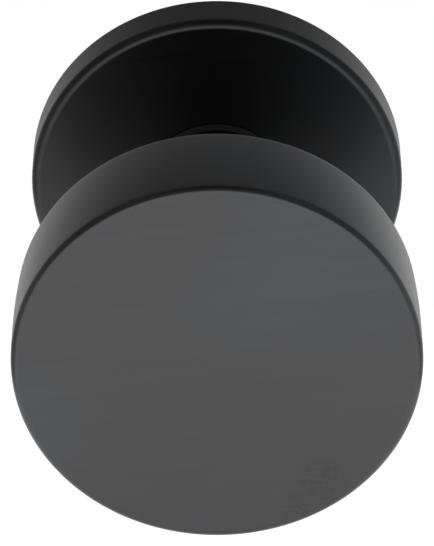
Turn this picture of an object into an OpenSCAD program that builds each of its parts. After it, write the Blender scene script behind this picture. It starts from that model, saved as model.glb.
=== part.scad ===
// Fixed door knob on a round rosette.
// The door's face is the plane y = 0. The knob stands out of it along -Y, and +Z is up.
// Each round piece is a profile of radius against height above the door, turned about the axis.

/* [Overall] */
// Height of the knob's face above the door
projection = 52; // [46:1:70]

/* [Knob head] */
// Diameter of the head at its face
head_d = 52; // [46:1:60]
// Thickness of the head
head_t = 14.5; // [13:0.5:18]
// How much the head's radius shrinks towards its back
head_taper = 0.3; // [0:0.05:1]
// How far the side bulges over a straight line
head_crown = 0.18; // [0.06:0.02:0.6]
// Radius of the edge round the face
face_edge_r = 1.05; // [0.5:0.05:2]
// Radius of the edge round the back
back_edge_r = 0.35; // [0.2:0.05:1]
// Depth of the seat that takes the neck
head_seat_t = 2; // [1:0.25:3]

/* [Neck] */
// Diameter of the neck
neck_d = 17; // [16:0.5:20]
// Diameter of the flange at the neck's foot
foot_d = 22.4; // [22:0.2:24]
// Thickness of the flange at the neck's foot
foot_t = 2.4; // [1.6:0.1:2.6]
// Chamfer round the neck's ends
neck_chamfer = 0.4; // [0.2:0.1:0.8]

/* [Rosette cover] */
// Outer diameter of the rosette
rosette_d = 50; // [49:0.5:56]
// Height of the rosette above the door
rosette_h = 6.25; // [6:0.25:8]
// Outer radius of the drawn edge
rosette_edge_r = 1.2; // [1.1:0.1:2]
// Thickness of the sheet
sheet_t = 1; // [0.6:0.1:1]
// Chamfer round the hole for the neck
hole_chamfer = 0.2; // [0.1:0.05:0.4]

/* [Base plate] */
// Thickness of the web between hub and rim
web_t = 2.2; // [1.6:0.1:3]
// Width of the rim
rim_w = 2.6; // [2.2:0.1:3]
// Chamfer that leads the cover onto the rim
rim_chamfer = 0.6; // [0.3:0.1:1]
// Thickness of the wall round the neck's foot
hub_wall = 2; // [1.5:0.1:2.5]
// Thickness of the floor that the centre screw clamps
floor_t = 2.5; // [2:0.1:3.5]
// Diameter of the collar behind the door's face
collar_d = 20; // [19:0.5:24]
// How far the screw's head lies inside the collar
collar_lip = 0.5; // [0.2:0.1:2]
// Chamfer that leads the collar into the door's bore
collar_chamfer = 0.6; // [0.3:0.1:1.5]
// How far the ribs and bosses stay below the top of the rim
rib_drop = 1.35; // [1:0.05:2]
// Thickness of a rib
rib_t = 1.5; // [1:0.1:2.5]
// Ribs between two neighbouring bosses
ribs_between = 2; // [1:1:3]
// Metal left round a hole in a boss
boss_wall = 1.6; // [1.2:0.1:2]

/* [Fixings in the door] */
// Distance between the two threaded lugs
lug_pitch = 38; // [36:0.5:38]
// Outer diameter of a lug behind the door's face
lug_d = 8; // [7:0.5:9]
// Length of a lug behind the door's face
lug_l = 8; // [5:0.5:14]
// How far the lug's shoulder is sunk in the base plate
lug_seat = 0.8; // [0.4:0.1:1.2]
// Diameter of the lug's spigot in the base plate
spigot_d = 6; // [5.6:0.1:6.2]
// Width of the spigot's flared end
spigot_flare = 0.5; // [0.2:0.1:0.8]
// Core diameter of the lug's M5 thread
lug_core_d = 4.2; // [4:0.1:4.4]
// Distance between the two wood screw holes
wood_pitch = 34.6; // [34:0.2:35.6]
// Diameter of a wood screw hole
wood_d = 4.3; // [3.5:0.1:5]
// Diameter of a wood screw hole's countersink
wood_sink_d = 7.6; // [6.6:0.1:8]

/* [Inner fasteners] */
// Diameter of the centre screw
screw_d = 8; // [6:0.5:8]
// Diameter of the centre screw's head
screw_head_d = 13; // [12:0.5:13.5]
// Height of the centre screw's head
screw_head_h = 5; // [4:0.1:5.5]
// Width across the flats of its socket
socket_w = 5; // [4:0.5:6]
// Depth of its socket
socket_t = 3; // [2:0.25:3.5]
// Length of screw held in the knob's head
screw_grip = 8; // [6:0.5:8.5]
// Thickness of the spring washer
washer_t = 2; // [1.5:0.1:2.5]
// Outer diameter of the spring washer
washer_d = 12.7; // [12:0.1:13.5]
// Width of the slit in the spring washer
washer_slit = 1; // [0.5:0.1:2]
// Diameter of the two dowel pins
pin_d = 2.5; // [2:0.1:2.6]
// Distance of a pin from the axis
pin_offset = 6.3; // [6.1:0.05:6.4]
// Length of a pin held in the neck
pin_grip = 3; // [2:0.5:4]
// Diameter of the snap ring's wire
wire_d = 1.1; // [0.8:0.1:1.3]
// Height of the snap ring above the door
ring_h = 2.6; // [2:0.1:3]
// Angle that the snap ring leaves open
ring_open = 24; // [10:1:60]
// How far the snap ring clicks into the cover
ring_click = 0.2; // [0.1:0.05:0.3]
// Thickness of the nylon bush round the neck
bush_t = 1; // [0.6:0.1:1.2]
// Thickness of the bush's flange under the cover
bush_flange_t = 0.72; // [0.5:0.02:0.8]
// Width of the bush's flange under the cover
bush_flange_w = 2.6; // [1.5:0.1:3]

/* [Clearances] */
// Gap between pieces pressed or screwed together
tight_gap = 0.03; // [0.01:0.01:0.05]
// Gap between pieces pushed together by hand
loose_gap = 0.1; // [0.05:0.05:0.15]
// Gap round the centre screw
screw_gap = 0.25; // [0.1:0.05:0.3]

/* [Hidden] */
$fn = 96;
// Fine steps for the faces that show, and for the very flat arc of the head's side
fine = 180;
flat_arc = 1440;
// Steps round the thin wire, and sides of the hexagon socket
wire_steps = 32;
hexagon = 6;
// Height by which a cut runs past the face that it opens
past = 1;

dark_steel = "#4c4d50";
cast_zinc = "#8d9094";
plated_steel = "#b9bcc0";
spring_steel = "#6f7276";
black_nylon = "#1d1d1f";

// Radii
head_r = head_d / 2;
head_back_r = head_r - head_taper;
neck_r = neck_d / 2;
foot_r = foot_d / 2;
rosette_r = rosette_d / 2;
cover_in_r = rosette_r - sheet_t;
bush_in_r = neck_r + loose_gap;
cover_hole_r = bush_in_r + bush_t;
plate_r = cover_in_r - 2 * loose_gap;
rim_in_r = plate_r - rim_w;
hub_in_r = foot_r + loose_gap;
hub_r = hub_in_r + hub_wall;
screw_r = screw_d / 2;
bore_r = screw_r + screw_gap;
counterbore_r = max(screw_head_d, washer_d) / 2 + 2 * loose_gap;
pin_r = pin_d / 2;
spigot_r = spigot_d / 2;
wood_sink_r = wood_sink_d / 2;
wire_r = wire_d / 2;
ring_r = cover_in_r + ring_click - wire_r;

// Heights above the door
head_back = projection - head_t;
head_seat = head_back + head_seat_t;
cover_in = rosette_h - sheet_t;
plate_top = cover_in - loose_gap;
rib_h = plate_top - rib_drop;
flange_top = cover_in - tight_gap;
foot_top = flange_top - bush_flange_t - loose_gap;
foot_floor = foot_top - foot_t;
floor_back = foot_floor - floor_t;
washer_back = floor_back - washer_t;
screw_back = washer_back - screw_head_h;
collar_back = screw_back - collar_lip;
screw_tip = head_seat + screw_grip;
// The tapped hole runs on past the screw's tip, and the floor keeps a skin under the foot's pin
tap_run_out = 1.5;
pin_skin = 0.9;
screw_hole_end = screw_tip + tap_run_out;
foot_pin_end = foot_floor - floor_t + pin_skin;

// Chamfers on the ends of the fasteners
lug_chamfer = lug_d / 20;
screw_chamfer = screw_d / 10;
screw_head_chamfer = screw_head_h / 8;
pin_chamfer = pin_d / 10;

// Direction in which the snap ring is open, clear of the bosses
ring_turn = 45;

// The side of the head is an arc through the rims of its face and back
side_chord = norm([head_taper, head_t]);
side_R = side_chord * side_chord / (8 * head_crown) + head_crown / 2;
side_c = [
    (head_back_r + head_r) / 2 - (side_R - head_crown) * head_t / side_chord,
    (head_back + projection) / 2 + (side_R - head_crown) * head_taper / side_chord
];

// Centre of an edge radius r that touches the side's arc from within, at height h
function edge_centre(r, h) = [side_c.x + sqrt(pow(side_R - r, 2) - pow(h - side_c.y, 2)), h];

// Height at which that edge radius touches the arc
function touch_height(r, h) = side_c.y + (h - side_c.y) * side_R / (side_R - r);

// Turns what is drawn along +Z so that it stands out of the door, along -Y
module out_of_door() {
    rotate([90, 0, 0]) children();
}

// A round slice between two heights
module disc(r, low, high, fn = $fn) {
    translate([0, 0, low]) cylinder(r = r, h = high - low, $fn = fn);
}

// A round rod with both ends chamfered
module chamfered_rod(r, low, high, chamfer) {
    rotate_extrude() polygon([
        [0, low],
        [r - chamfer, low],
        [r, low + chamfer],
        [r, high - chamfer],
        [r - chamfer, high],
        [0, high]
    ]);
}

// Half the section of the head, with arcs for its side and its two edges
module head_section() {
    front = edge_centre(face_edge_r, projection - face_edge_r);
    back = edge_centre(back_edge_r, head_back + back_edge_r);
    low = touch_height(back_edge_r, back.y);
    high = touch_height(face_edge_r, front.y);
    intersection() {
        translate([0, low]) square([head_d, high - low]);
        translate(side_c) circle(r = side_R, $fn = flat_arc);
    }
    translate(front) circle(r = face_edge_r);
    translate(back) circle(r = back_edge_r);
    translate([0, front.y]) square([front.x, projection - front.y]);
    translate([0, head_back]) square([back.x, back.y - head_back]);
}

module knob_head() {
    color(dark_steel) out_of_door() difference() {
        rotate_extrude($fn = fine) head_section();
        disc(neck_r + tight_gap, head_back - past, head_seat);
        disc(screw_r + tight_gap, head_back - past, screw_hole_end);
        translate([0, pin_offset, 0]) disc(pin_r + tight_gap, head_back - past, head_seat + pin_grip);
    }
}

module neck() {
    color(dark_steel) out_of_door() difference() {
        union() {
            chamfered_rod(neck_r, foot_floor, head_seat, neck_chamfer);
            chamfered_rod(foot_r, foot_floor, foot_top, neck_chamfer);
        }
        disc(bore_r, foot_floor - past, head_seat + past);
        translate([0, pin_offset, 0]) disc(pin_r + tight_gap, foot_floor - past, foot_floor + pin_grip);
        translate([0, pin_offset, 0]) disc(pin_r + tight_gap, head_seat - pin_grip, head_seat + past);
    }
}

// Half the section of a cap's solid form: a straight side, a rounded edge and a flat top
module cap_section(r, h, edge) {
    square([r, h - edge]);
    square([r - edge, h]);
    translate([r - edge, h - edge]) circle(r = edge);
}

module rosette_cover() {
    hole_cut = cover_hole_r + hole_chamfer;
    color(dark_steel) out_of_door() difference() {
        rotate_extrude($fn = fine) cap_section(rosette_r, rosette_h, rosette_edge_r);
        translate([0, 0, -past]) rotate_extrude($fn = fine)
            cap_section(cover_in_r, cover_in + past, rosette_edge_r - sheet_t);
        disc(cover_hole_r, 0, rosette_h + past);
        translate([0, 0, rosette_h - hole_chamfer]) cylinder(
            r1 = cover_hole_r, r2 = hole_cut + past, h = hole_chamfer + past);
        rotate_extrude($fn = fine) translate([ring_r, ring_h]) circle(r = wire_r + tight_gap);
    }
}

// A boss with its foot in the web, at a place given in the door's plane
module boss(place, r) {
    translate(place) disc(r, 0, rib_h);
}

// What the turned body of the base plate carries: ribs and bosses, kept inside the rim
module plate_webbing() {
    sector = 90 / (ribs_between + 1);
    intersection() {
        union() {
            for (side = [-1, 1]) {
                boss([side * lug_pitch / 2, 0, 0], spigot_r + boss_wall);
                boss([0, side * wood_pitch / 2, 0], wood_sink_r + boss_wall / 2);
            }
            for (quarter = [0 : 3], i = [1 : ribs_between])
                rotate([0, 0, 90 * quarter + sector * i])
                    translate([foot_r, -rib_t / 2, 0])
                        cube([plate_r - rim_w / 2 - foot_r, rib_t, rib_h]);
        }
        disc(plate_r - rim_w / 2, -past, rib_h + past);
    }
}

module plate_body() {
    disc(plate_r, 0, web_t);
    disc(hub_r, 0, foot_top);
    chamfered_rod(collar_d / 2, collar_back, web_t, collar_chamfer);
    difference() {
        union() {
            disc(plate_r, 0, plate_top - rim_chamfer);
            translate([0, 0, plate_top - rim_chamfer])
                cylinder(r1 = plate_r, r2 = plate_r - rim_chamfer, h = rim_chamfer);
        }
        disc(rim_in_r, -past, plate_top + past);
    }
    plate_webbing();
}

// Clearance hole with a countersink for a wood screw, open to the front
module wood_hole() {
    disc(wood_d / 2, -past, rib_h + past);
    sink_t = wood_sink_r - wood_d / 2;
    translate([0, 0, rib_h - sink_t]) cylinder(r1 = wood_d / 2, r2 = wood_sink_r, h = sink_t);
    disc(wood_sink_r, rib_h, plate_top + past);
}

// The spigot of a lug, with the flare that locks it in the base plate. The hole for it has the same form.
module spigot(r) {
    disc(r, 0, rib_h);
    translate([0, 0, rib_h - spigot_flare])
        cylinder(r1 = r, r2 = r + spigot_flare, h = spigot_flare);
}

// What the base plate loses to a lug: the shoulder's seat, the spigot's hole and room for the flaring tool
module lug_hole() {
    disc(lug_d / 2 + tight_gap, -past, lug_seat);
    spigot(spigot_r + tight_gap);
    disc(spigot_r + spigot_flare + loose_gap, rib_h, plate_top + past);
}

module base_plate() {
    color(cast_zinc) out_of_door() difference() {
        plate_body();
        disc(hub_in_r, foot_floor, plate_top + past);
        disc(bore_r, floor_back - past, foot_floor + past);
        disc(counterbore_r, collar_back - past, floor_back);
        translate([0, pin_offset, 0]) disc(pin_r + tight_gap, foot_pin_end, foot_floor + past);
        for (side = [-1, 1]) {
            translate([side * lug_pitch / 2, 0, 0]) lug_hole();
            translate([0, side * wood_pitch / 2, 0]) wood_hole();
        }
        rotate_extrude() translate([ring_r - wire_r - loose_gap, ring_h - wire_r - loose_gap])
            square([wire_d + sheet_t, wire_d + 2 * loose_gap]);
    }
}

module snap_ring() {
    color(spring_steel) out_of_door() rotate([0, 0, ring_turn + ring_open / 2])
        rotate_extrude(angle = 360 - ring_open)
            translate([ring_r, ring_h]) circle(r = wire_r, $fn = wire_steps);
}

module neck_bush() {
    low = flange_top - bush_flange_t;
    top = rosette_h - loose_gap;
    color(black_nylon) out_of_door() difference() {
        union() {
            disc(cover_hole_r + bush_flange_w, low, flange_top);
            disc(cover_hole_r - tight_gap, low, top);
        }
        disc(bush_in_r, low - past, top + past);
    }
}

module centre_screw() {
    color(plated_steel) out_of_door() difference() {
        union() {
            chamfered_rod(screw_head_d / 2, screw_back, washer_back, screw_head_chamfer);
            chamfered_rod(screw_r, screw_back + socket_t, screw_tip, screw_chamfer);
        }
        disc(socket_w / sqrt(3), screw_back - past, screw_back + socket_t, hexagon);
    }
}

module lock_washer() {
    color(spring_steel) out_of_door() difference() {
        disc(washer_d / 2, washer_back, floor_back);
        disc(screw_r + loose_gap, washer_back - past, floor_back + past);
        translate([0, -washer_slit / 2, washer_back - past])
            cube([washer_d, washer_slit, washer_t + 2 * past]);
    }
}

// A dowel pin at its place beside the axis
module dowel(low, high) {
    color(plated_steel) out_of_door() translate([0, pin_offset, 0])
        chamfered_rod(pin_r, low + loose_gap, high - loose_gap, pin_chamfer);
}

module foot_pin() {
    dowel(foot_pin_end, foot_floor + pin_grip);
}

module head_pin() {
    dowel(head_seat - pin_grip, head_seat + pin_grip);
}

// A threaded lug: a shank whose shoulder seats in the base plate, and a flared spigot through it
module lug_sleeve(side) {
    color(plated_steel) out_of_door() translate([side * lug_pitch / 2, 0, 0]) difference() {
        union() {
            chamfered_rod(lug_d / 2, -lug_l, lug_seat, lug_chamfer);
            spigot(spigot_r);
        }
        disc(lug_core_d / 2, -lug_l - past, rib_h + past);
    }
}

module lug_sleeve_left() {
    lug_sleeve(-1);
}

module lug_sleeve_right() {
    lug_sleeve(1);
}

knob_head();
neck();
rosette_cover();
base_plate();
snap_ring();
neck_bush();
centre_screw();
lock_washer();
foot_pin();
head_pin();
lug_sleeve_left();
lug_sleeve_right();
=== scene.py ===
# %% [markdown]
# # A fixed door knob, dressed for the camera
# The real knob is a thick turned disc on a slim neck, which stands on a low round rosette.
# All three are stainless steel, brushed and then coated dark grey. This lesson takes the knob's
# CAD model as a fixed frame, gives the pieces that show finer surfaces, and finishes each of them.

# %% Load the frame
import math

import bpy
import numpy as np
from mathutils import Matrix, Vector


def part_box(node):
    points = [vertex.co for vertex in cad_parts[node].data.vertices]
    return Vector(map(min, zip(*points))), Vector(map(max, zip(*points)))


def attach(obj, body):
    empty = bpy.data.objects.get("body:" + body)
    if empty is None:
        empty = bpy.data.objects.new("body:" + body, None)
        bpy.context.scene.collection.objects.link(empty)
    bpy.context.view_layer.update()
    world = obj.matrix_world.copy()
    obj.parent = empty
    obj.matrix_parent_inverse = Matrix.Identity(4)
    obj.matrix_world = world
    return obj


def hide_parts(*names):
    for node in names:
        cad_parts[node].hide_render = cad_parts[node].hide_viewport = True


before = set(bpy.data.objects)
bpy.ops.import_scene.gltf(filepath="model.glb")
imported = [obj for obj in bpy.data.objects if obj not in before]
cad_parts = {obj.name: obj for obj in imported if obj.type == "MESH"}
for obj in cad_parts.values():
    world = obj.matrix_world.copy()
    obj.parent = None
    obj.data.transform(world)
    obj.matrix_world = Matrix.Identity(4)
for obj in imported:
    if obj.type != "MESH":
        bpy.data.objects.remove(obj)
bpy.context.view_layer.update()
print("CAD nodes:", ", ".join(sorted(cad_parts)))

# %% [markdown]
# ## How a turned piece is drawn
# The head is turned on a lathe and the cover is drawn as a round cap, so one way of drawing suits
# both: half the section is a line of points, each a radius and a height above the door, and
# the line is carried once round the axis. Spinning a curve with a Screw modifier would also
# work, but arrays let every ring be placed where the light needs it. All sizes are in
# millimetres until the mesh is made.

# %% The line of the section
MM = 0.001
AXIS_STEPS = 288


def arc(centre, radius, start, end, steps=10):
    """Points on a circle in the section: centre plus radius times (cos t, sin t), t in degrees."""
    t = np.radians(np.linspace(start, end, steps + 1))
    return np.column_stack([centre[0] + radius * np.cos(t), centre[1] + radius * np.sin(t)])


def line(*corners, near=0.06, pieces=4):
    """Straight runs between corners: a ring close to each end keeps the edge crisp, and others divide the rest."""
    corners = np.array(corners, float)
    runs = []
    for start, end in zip(corners[:-1], corners[1:]):
        length = np.linalg.norm(end - start)
        inner = np.linspace(near / length, 1 - near / length, pieces) if length > 4 * near else np.empty(0)
        share = np.concatenate([[0.0], inner, [1.0]])
        runs.append(start + share[:, None] * (end - start))
    return np.concatenate(runs)


def section(*parts):
    """Joins parts of a section and drops the points that repeat."""
    points = np.concatenate([np.atleast_2d(p) for p in parts]).astype(float)
    step = np.linalg.norm(np.diff(points, axis=0), axis=1)
    return points[np.concatenate([[True], step > 1e-6])]


# %% [markdown]
# The carried line is a grid: rings along the section, columns round the axis. The point at radius r,
# height h and angle a stands at x = r sin a, y = -h, z = r cos a. A ring of no radius becomes
# one vertex, so that the poles are closed, and a section that ends where it began closes on itself.

# %% Carry the section round the axis
def turned(points, steps=AXIS_STEPS, middle=(0.0, 0.0)):
    """Vertices and faces of a section carried round an axis through middle, which is given as x and z."""
    closed = np.allclose(points[0], points[-1])
    rings = points[:-1] if closed else points
    angle = np.linspace(0, 2 * np.pi, steps, endpoint=False)
    r, h = rings[:, :1], rings[:, 1:]
    grid = np.stack(np.broadcast_arrays(
        middle[0] + r * np.sin(angle), -h + 0 * angle, middle[1] + r * np.cos(angle)), axis=-1)
    number = np.arange(len(rings) * steps).reshape(len(rings), steps)
    poles = np.flatnonzero(rings[:, 0] < 1e-9)
    number[poles] = number[poles, :1]
    if closed:
        number = np.vstack([number, number[:1]])
    here, after = number[:-1], number[1:]
    quads = np.stack([here, np.roll(here, -1, 1), np.roll(after, -1, 1), after], axis=-1).reshape(-1, 4)
    return grid.reshape(-1, 3), quads


# %% [markdown]
# ## Making a piece
# A piece is a mesh whose place is in its vertices, so its object stays at the origin. It is kept
# inside the box of the CAD node that it stands for. It also gets a map for the brush: on the flat
# faces the first axis runs along X, and everywhere else it runs round the knob's axis, because that
# is how the wheel and the belt leave their strokes, and the highlights stretch across them.

# %% Mesh, map, body and finish of one piece
def brush_map(mesh):
    """Writes a UV map in metres: (x, z) on faces that look along Y, and (angle times radius, y) on the others."""
    count = len(mesh.loops)
    corner = np.empty(count, np.int32)
    mesh.loops.foreach_get("vertex_index", corner)
    co = np.empty(len(mesh.vertices) * 3)
    mesh.vertices.foreach_get("co", co)
    co = co.reshape(-1, 3)[corner]
    normal = np.empty(len(mesh.polygons) * 3)
    mesh.polygons.foreach_get("normal", normal)
    size = np.empty(len(mesh.polygons), np.int32)
    mesh.polygons.foreach_get("loop_total", size)
    flat = np.repeat(np.abs(normal.reshape(-1, 3)[:, 1]) > 0.7, size)
    angle = np.arctan2(co[:, 0], co[:, 2])
    first = np.repeat(angle[np.concatenate([[0], np.cumsum(size)[:-1]])], size)
    angle = first + (angle - first + np.pi) % (2 * np.pi) - np.pi
    radius = np.hypot(co[:, 0], co[:, 2])
    uv = np.where(flat[:, None], co[:, [0, 2]], np.column_stack([angle * radius, co[:, 1]]))
    mesh.uv_layers.new(name="brush").data.foreach_set("uv", uv.astype(np.float32).ravel())


def make_piece(name, node, points, quads, material, material_slot, crease=35):
    """One mesh object of the knob, smooth but for edges sharper than crease degrees, in place of a CAD node."""
    low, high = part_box(node)
    points = np.clip(points * MM, np.array(low), np.array(high))
    used, quads = np.unique(quads, return_inverse=True)
    faces = [tuple(dict.fromkeys(q)) for q in quads.reshape(-1, 4).tolist()]
    mesh = bpy.data.meshes.new(name)
    mesh.from_pydata(points[used], [], faces)
    mesh.validate()
    mesh.shade_smooth()
    mesh.set_sharp_from_angle(angle=math.radians(crease))
    brush_map(mesh)
    mesh.materials.append(material)
    piece = bpy.data.objects.new(name, mesh)
    bpy.context.scene.collection.objects.link(piece)
    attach(piece, "root")
    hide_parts(node)
    print(f"{name}: {len(mesh.vertices)} vertices, {len(mesh.polygons)} faces")
    return piece


# %% [markdown]
# ## The dark brushed steel
# On the real knob a belt drew fine parallel strokes over the flat face, nearly level and rising a little to
# the right, and the side was brushed while it turned. A thin dark coat lies over them, a touch
# bluer in some places than in others. A picture of brushed steel could be wrapped round the
# knob, but noise that is squeezed across the strokes and drawn out along them has no seams
# and no end. Two such noises, a straight one and a round one, are mixed by the way the surface looks.

# %% Small helpers for material nodes
def add(tree, kind, inputs=None, **settings):
    """A new node with its settings and its unlinked or linked inputs."""
    made = tree.nodes.new("ShaderNode" + kind)
    for key, value in settings.items():
        setattr(made, key, value)
    for key, value in (inputs or {}).items():
        if isinstance(value, bpy.types.NodeSocket):
            tree.links.new(value, made.inputs[key])
        else:
            made.inputs[key].default_value = value
    return made


def sums(tree, operation, first, second=0.5, third=0.5):
    """One arithmetic step on sockets or numbers."""
    return add(tree, "Math", {0: first, 1: second, 2: third}, operation=operation).outputs[0]


def spread(tree, value, low, high, to_low=0.0, to_high=1.0, kind="SMOOTHSTEP"):
    """Maps a value from one span to another, held at the ends."""
    return add(tree, "MapRange", {"Value": value, 1: low, 2: high, 3: to_low, 4: to_high},
               interpolation_type=kind).outputs[0]


def blend_colours(tree, share, first, second):
    """Mixes two colours, given as sockets or as red, green and blue."""
    mix = tree.nodes.new("ShaderNodeMix")
    mix.data_type = "RGBA"
    for socket, value in ((mix.inputs[0], share), (mix.inputs[6], first), (mix.inputs[7], second)):
        if isinstance(value, bpy.types.NodeSocket):
            tree.links.new(value, socket)
        else:
            socket.default_value = value if socket == mix.inputs[0] else (*value, 1.0)
    return mix.outputs[2]


def blank_material(name):
    """A material with only its Principled shader and output, the shader at hand."""
    material = bpy.data.materials.new(name)
    material.use_nodes = True
    return material, material.node_tree, material.node_tree.nodes["Principled BSDF"]


# %% The brush strokes
STROKE_RISE = math.radians(6)
WORN_SPOTS = (((0.0134, -0.052, -0.0172), 0.0042), ((0.0106, -0.052, -0.0210), 0.0028))
WORN_LONG, WORN_FINE, WORN_TURN = 900, 4200, math.radians(-20)
WORN_DARK = 0.11


def strokes(tree, place, scale, detail=3.0, turn=0.0):
    """Noise of the place, turned about Y and then scaled along each axis: little along a stroke, much across it."""
    turned_place = add(tree, "Mapping", {"Vector": place, "Rotation": (0, turn, 0)}).outputs[0]
    squeezed = add(tree, "Mapping", {"Vector": turned_place, "Scale": scale}).outputs[0]
    return add(tree, "TexNoise", {"Vector": squeezed, "Scale": 1.0, "Detail": detail, "Roughness": 0.6}).outputs[0]


def worn(tree, place):
    """1 where the coat is rubbed in short strokes that run down to the right, near two spots low on the face."""
    rubbed = strokes(tree, place, (WORN_LONG, 1, WORN_FINE), 2.0, WORN_TURN)
    marks = spread(tree, rubbed, 0.42, 0.6)
    near = 0.0
    for spot, reach in WORN_SPOTS:
        away = add(tree, "VectorMath", {0: place, 1: spot}, operation="DISTANCE").outputs["Value"]
        near = sums(tree, "MAXIMUM", spread(tree, away, 0.4 * reach, 1.2 * reach, 1.0, 0.0), near)
    return sums(tree, "MULTIPLY", marks, near)


def brushed_steel(name, clear, blue, painted_dimming=1.0, matt=0.0, stretch=0.35):
    """Dark coated steel. Its colour drifts from clear to blue over the piece, and painted_dimming scales both down,
    which paints shade into the colour where a piece looks darker only for the shade it lies in. matt is added to the
    roughness, and stretch is how far highlights run across the strokes."""
    material, tree, steel = blank_material(name)
    place = add(tree, "TexCoord").outputs["Object"]
    facing = add(tree, "SeparateXYZ", {0: add(tree, "NewGeometry").outputs["Normal"]}).outputs[1]
    flat = spread(tree, sums(tree, "ABSOLUTE", facing), 0.75, 0.95)
    grain = []
    for fine, long_way, detail in ((3200, 70, 4.0), (900, 22, 2.0)):
        straight = strokes(tree, place, (long_way, 1, fine), detail, STROKE_RISE)
        round_way = strokes(tree, place, (long_way, fine, long_way), detail)
        grain.append(sums(tree, "ADD", sums(tree, "MULTIPLY", flat, straight),
                          sums(tree, "MULTIPLY", sums(tree, "SUBTRACT", 1.0, flat), round_way)))
    both = sums(tree, "MULTIPLY_ADD", grain[0], 0.6, sums(tree, "MULTIPLY", grain[1], 0.4))
    drift = add(tree, "TexNoise", {"Vector": place, "Scale": 28.0, "Detail": 1.0}).outputs[0]
    # Scaling the colour down here is painted shade, not a darker coat.
    tint = blend_colours(tree, spread(tree, drift, 0.35, 0.65), [painted_dimming * c for c in clear], [painted_dimming * c for c in blue])
    shade = spread(tree, both, 0.3, 0.7, 0.955, 1.045, "LINEAR")
    shade = sums(tree, "MULTIPLY", shade, sums(tree, "MULTIPLY_ADD", worn(tree, place), -WORN_DARK, 1.0))
    tinted = add(tree, "VectorMath", {0: tint, "Scale": shade}, operation="SCALE").outputs[0]
    tree.links.new(tinted, steel.inputs["Base Color"])
    tree.links.new(spread(tree, both, 0.3, 0.7, 0.27 + matt, 0.21 + matt, "LINEAR"), steel.inputs["Roughness"])
    bump = add(tree, "Bump", {"Strength": 0.25, "Distance": 0.00002, "Height": both})
    tree.links.new(bump.outputs[0], steel.inputs["Normal"])
    steel.inputs["Metallic"].default_value = 1.0
    if stretch:
        along = add(tree, "Tangent", direction_type="UV_MAP", uv_map="brush").outputs[0]
        tree.links.new(along, steel.inputs["Tangent"])
        steel.inputs["Anisotropic"].default_value = stretch
    return material


CLEAR_COAT = (0.094, 0.094, 0.095)
BLUE_COAT = (0.096, 0.100, 0.107)
head_steel = brushed_steel("dark_steel_head", CLEAR_COAT, BLUE_COAT)
# The cover has the same coat as the head; its colour at 0.6 is painted shade, for the shade that lies round the foot
# of the knob.
shaded_sheet_steel = brushed_steel("dark_steel_sheet_shaded", CLEAR_COAT, BLUE_COAT, 0.6, matt=0.06)
neck_steel = brushed_steel("dark_steel_neck", CLEAR_COAT, BLUE_COAT, stretch=0.0)
print("steel:", head_steel.name, shaded_sheet_steel.name, neck_steel.name)

# %% [markdown]
# ## The head
# The head is a disc 52 mm wide and 14.5 mm thick. Its side isn't straight: it is a very flat arc that
# leans in a little towards the back, and the face meets it in a radius of about 1 mm, which is the
# dark line round the face. A bevel on a cylinder would give the radius but not the arc, so the section is
# worked out as circles that touch each other. Behind, a shallow seat takes the neck and a bore the screw.

# %% The head's section
PROJECTION, HEAD_T = 52.0, 14.5
HEAD_R, HEAD_TAPER, HEAD_CROWN = 26.0, 0.3, 0.18
FACE_EDGE, BACK_EDGE = 1.05, 0.35
SEAT_R, SEAT_T = 8.53, 2.0
SCREW_BORE, SCREW_HOLE_END = 4.03, 49.0
BREAK = 0.12
head_back = PROJECTION - HEAD_T


def head_section():
    """From the middle of the face outward, round the side and in again to the end of the screw's bore."""
    chord = math.hypot(HEAD_TAPER, HEAD_T)
    side_r = chord ** 2 / (8 * HEAD_CROWN) + HEAD_CROWN / 2
    side_c = np.array([HEAD_R - HEAD_TAPER / 2 - (side_r - HEAD_CROWN) * HEAD_T / chord,
                       (head_back + PROJECTION) / 2 + (side_r - HEAD_CROWN) * HEAD_TAPER / chord])

    def rim(radius, height):
        """Centre of an edge circle that touches the side from within, and the angle at which it does."""
        out = side_c[0] + math.sqrt((side_r - radius) ** 2 - (height - side_c[1]) ** 2)
        return (out, height), math.degrees(math.atan2(height - side_c[1], out - side_c[0]))

    front, front_angle = rim(FACE_EDGE, PROJECTION - FACE_EDGE)
    back, back_angle = rim(BACK_EDGE, head_back + BACK_EDGE)
    seat = head_back + SEAT_T
    return section(
        line((0, PROJECTION), (front[0], PROJECTION), pieces=9),
        arc(front, FACE_EDGE, 90, front_angle, 16),
        arc(side_c, side_r, front_angle, back_angle, 16),
        arc(back, BACK_EDGE, back_angle, -90, 8),
        line((back[0], head_back), (SEAT_R + BREAK, head_back), (SEAT_R, head_back + BREAK), (SEAT_R, seat),
             (SCREW_BORE, seat), (SCREW_BORE, SCREW_HOLE_END), (0, SCREW_HOLE_END)),
    )


head = make_piece("turned_head", "knob_head", *turned(head_section()), head_steel, "dark_brushed_steel")

# %% [markdown]
# ## The rosette cover
# The cover is drawn from 1 mm sheet like a shallow cap. Its edge is rounded by the die, outside and inside,
# and a groove inside its wall clicks over the snap ring. It is one closed section carried round the
# axis: outside, over the top, down the hole, and back along the inside. Solidify on a thin
# shell would be shorter, but it could not give the two radii and the groove their own sizes.

# %% The cover's section
ROSETTE_R, ROSETTE_H, SHEET = 25.0, 6.25, 1.0
ROSETTE_EDGE, COVER_HOLE, HOLE_BREAK = 1.2, 9.6, 0.2
RING_H, GROOVE_MID, GROOVE_R = 2.6, 23.65, 0.58


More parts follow.
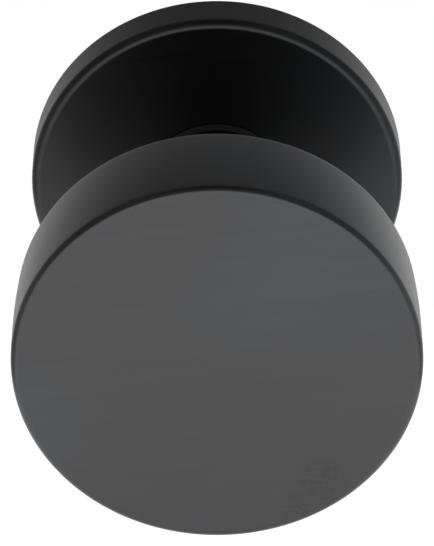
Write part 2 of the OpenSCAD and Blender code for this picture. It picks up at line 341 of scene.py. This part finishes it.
def cover_section():
    """Anticlockwise round the sheet from the outer foot of the wall back to it."""
    top, inner, under = ROSETTE_H, ROSETTE_R - SHEET, ROSETTE_H - SHEET
    bend = ROSETTE_EDGE - SHEET
    reach = math.degrees(math.acos((inner - GROOVE_MID) / GROOVE_R))
    return section(
        line((ROSETTE_R, BREAK), (ROSETTE_R, top - ROSETTE_EDGE)),
        arc((ROSETTE_R - ROSETTE_EDGE, top - ROSETTE_EDGE), ROSETTE_EDGE, 0, 90, 16),
        line((ROSETTE_R - ROSETTE_EDGE, top), (COVER_HOLE + HOLE_BREAK, top), (COVER_HOLE, top - HOLE_BREAK),
             (COVER_HOLE, under), (inner - bend, under), pieces=6),
        arc((inner - bend, under - bend), bend, 90, 0, 5),
        arc((GROOVE_MID, RING_H), GROOVE_R, reach, -reach, 10),
        line((inner, RING_H - 1), (inner, BREAK), (inner + BREAK, 0), (ROSETTE_R - BREAK, 0), (ROSETTE_R, BREAK)),
    )


cover = make_piece("drawn_cover", "rosette_cover", *turned(cover_section()[::-1]), shaded_sheet_steel, "dark_brushed_steel")

# %% [markdown]
# ## The neck
# The neck is a turned tube with a flange at its foot. Only a trace of it shows behind the head, and
# the frame's mesh has the dowels' holes in its ends, so it is kept and only brushed round.

# %% Finish for a piece that keeps its frame mesh
def finish_nodes(material, *names):
    """Puts one material in every slot of the frame's own meshes."""
    for name in names:
        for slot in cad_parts[name].material_slots:
            slot.material = material
    print(f"{material.name}: {', '.join(names)}")


finish_nodes(neck_steel, "neck")

# %% [markdown]
# ## The hidden pieces
# Behind the cover sit a pressure-cast zinc plate, zinc-plated screw, lugs and dowels, a ring and a washer of
# oiled spring steel, and a black nylon bush round the neck, whose end shows as a thin dark ring.
# Each gets a metal or plastic of its own. The surface of such pieces is a fine grain with larger
# clouds over it, so one recipe of two noises serves them all, with other numbers.

# %% Cast, plated, sprung and moulded surfaces
def plain_surface(name, dark, light, metal, rough, clouds=120.0, grain=2600.0, relief=0.00002):
    """Clouds drift the colour from dark to light, and grain the roughness, over the span given by rough."""
    material, tree, surface = blank_material(name)
    place = add(tree, "TexCoord").outputs["Object"]
    cloud = add(tree, "TexNoise", {"Vector": place, "Scale": clouds, "Detail": 3.0}).outputs[0]
    fine = add(tree, "TexNoise", {"Vector": place, "Scale": grain, "Detail": 2.0}).outputs[0]
    tree.links.new(blend_colours(tree, spread(tree, cloud, 0.35, 0.65), dark, light), surface.inputs["Base Color"])
    tree.links.new(spread(tree, fine, 0.3, 0.7, rough[0], rough[1], "LINEAR"), surface.inputs["Roughness"])
    bump = add(tree, "Bump", {"Strength": 0.4, "Distance": relief, "Height": fine})
    tree.links.new(bump.outputs[0], surface.inputs["Normal"])
    surface.inputs["Metallic"].default_value = metal
    return material


cast_zinc = plain_surface("cast_zinc_skin", (0.27, 0.28, 0.29), (0.35, 0.36, 0.37), 0.9, (0.5, 0.68),
                          clouds=90.0, grain=1800.0, relief=0.00005)
zinc_plate = plain_surface("bright_zinc_plate", (0.50, 0.51, 0.54), (0.60, 0.61, 0.62), 1.0, (0.22, 0.34))
oiled_spring = plain_surface("oiled_spring_steel", (0.13, 0.13, 0.14), (0.19, 0.19, 0.195), 1.0, (0.32, 0.46))
black_nylon = plain_surface("moulded_black_nylon", (0.010, 0.010, 0.011), (0.015, 0.015, 0.016), 0.0, (0.5, 0.66))
finish_nodes(cast_zinc, "base_plate")
finish_nodes(zinc_plate, "centre_screw", "foot_pin", "head_pin", "lug_sleeve_left", "lug_sleeve_right")
finish_nodes(oiled_spring, "snap_ring", "lock_washer")
finish_nodes(black_nylon, "neck_bush")

# %% [markdown]
# ## The studio
# The part hangs where its mount holds it, above a strip of white paper. Shiny things are
# photographed on a strip that is no wider than it has to be, because what lies beside it is darker and
# draws a dark line round the edges. The paper keeps the knob's shadow, and is lifted to full
# white where the camera or a metal sees it.

# %% The paper
PAPER_Z = -0.085
PAPER_SIDE, PAPER_FRONT, PAPER_REAR = 0.13, -0.7, 0.10
PAPER_WHITE, ADDED_WHITE = 0.8, 0.22


def seen_directly(tree):
    """1 for a ray from the camera, or one that a metal or a clear surface sends on, and 0 for the rest."""
    path = add(tree, "LightPath").outputs
    mirror = sums(tree, "MAXIMUM", path["Is Glossy Ray"], path["Is Transmission Ray"])
    return sums(tree, "MAXIMUM", path["Is Camera Ray"], mirror)


def white_paper():
    """A matt white that keeps shadows, lifted to full white where it is seen directly."""
    material, tree, paper = blank_material("white_paper")
    paper.inputs["Base Color"].default_value = (PAPER_WHITE, PAPER_WHITE, PAPER_WHITE, 1)
    paper.inputs["Roughness"].default_value = 1.0
    paper.inputs["Specular IOR Level"].default_value = 0.0
    paper.inputs["Emission Color"].default_value = (1, 1, 1, 1)
    tree.links.new(sums(tree, "MULTIPLY", seen_directly(tree), ADDED_WHITE), paper.inputs["Emission Strength"])
    return material


def lay_paper():
    """A flat strip below the knob, long towards the camera."""
    mesh = bpy.data.meshes.new("paper")
    mesh.from_pydata([(-PAPER_SIDE, PAPER_FRONT, PAPER_Z), (PAPER_SIDE, PAPER_FRONT, PAPER_Z),
                      (PAPER_SIDE, PAPER_REAR, PAPER_Z), (-PAPER_SIDE, PAPER_REAR, PAPER_Z)], [], [(0, 1, 2, 3)])
    mesh.materials.append(white_paper())
    paper = bpy.data.objects.new("paper", mesh)
    bpy.context.scene.collection.objects.link(paper)
    return paper


lay_paper()

# %% [markdown]
# The room is white to the eye. For paint it is an even, softer white. A metal mirrors what a
# studio really has: a wide white screen before the knob, half-lit walls, and a dark ceiling, which
# gives the black lines on the rounded edges.

# %% The room
ROOM_SOFT = 0.55
CEILING, WALLS_HIGH, WALLS_LOW, SCREEN = 0.3, 0.17, 0.56, 1.0
WINDOW_SIDE = 0.18
SCREEN_TILT = math.radians(-15)


def light_room():
    """White for the camera. For metal: walls that darken upward and at the ceiling, a little lighter on the
    right, and a round screen in front."""
    room = bpy.data.worlds.new("room")
    bpy.context.scene.world = room
    room.use_nodes = True
    tree = room.node_tree
    way = add(tree, "TexCoord").outputs["Generated"]
    parts = add(tree, "SeparateXYZ", {0: way}).outputs
    rise = sums(tree, "MULTIPLY", sums(tree, "ARCSINE", parts[2]), 180 / math.pi)
    walls = sums(tree, "MULTIPLY", spread(tree, rise, -28.0, 32.0, WALLS_LOW, WALLS_HIGH),
                 spread(tree, rise, 50.0, 85.0, 1.0, CEILING))
    walls = sums(tree, "MULTIPLY", walls, sums(tree, "MULTIPLY_ADD", parts[0], WINDOW_SIDE, 1.0))
    towards = add(tree, "VectorMath", {0: way, 1: (0, -math.cos(SCREEN_TILT), math.sin(SCREEN_TILT))},
                  operation="DOT_PRODUCT").outputs["Value"]
    aside = sums(tree, "MULTIPLY", sums(tree, "ARCCOSINE", towards), 180 / math.pi)
    screen = spread(tree, aside, 38.0, 62.0, 1.0, 0.0)
    mirrored = sums(tree, "MULTIPLY_ADD", sums(tree, "SUBTRACT", SCREEN, walls), screen, walls)
    path = add(tree, "LightPath").outputs
    mirror = sums(tree, "MAXIMUM", path["Is Glossy Ray"], path["Is Transmission Ray"])
    soft = sums(tree, "MULTIPLY_ADD", sums(tree, "SUBTRACT", mirrored, ROOM_SOFT), mirror, ROOM_SOFT)
    strength = sums(tree, "MULTIPLY_ADD", sums(tree, "SUBTRACT", 1.0, soft), path["Is Camera Ray"], soft)
    tree.links.new(strength, tree.nodes["Background"].inputs["Strength"])
    tree.nodes["Background"].inputs["Color"].default_value = (1, 1, 1, 1)
    return room


light_room()

# %% The lamp
LAMP_AT, LAMP_SIZE, LAMP_POWER = (0.0, 0.8, 0.8), 0.7, 13.0


def hang_lamp():
    """A soft lamp above and behind, so that the shadow falls towards the camera. Metal doesn't mirror it."""
    data = bpy.data.lights.new("softbox", "AREA")
    data.size = LAMP_SIZE
    data.energy = LAMP_POWER
    lamp = bpy.data.objects.new("softbox", data)
    lamp.location = LAMP_AT
    lamp.rotation_euler = (-math.atan2(LAMP_AT[1], LAMP_AT[2]), 0, 0)
    lamp.visible_glossy = False
    bpy.context.scene.collection.objects.link(lamp)


hang_lamp()

# %% Camera
CAMERA_AT = (0.0, -0.5093, 0.2881)
CAMERA_DOWN = 30.95
CAMERA_LENS = 283.2


def set_camera():
    """A long lens in front of the knob and above it, tilted down on to it."""
    data = bpy.data.cameras.new("camera")
    data.lens = CAMERA_LENS
    camera = bpy.data.objects.new("camera", data)
    camera.location = CAMERA_AT
    camera.rotation_euler = (math.radians(90 - CAMERA_DOWN), 0, 0)
    bpy.context.scene.collection.objects.link(camera)
    bpy.context.scene.camera = camera
    bpy.context.scene.view_settings.view_transform = "Standard"


set_camera()
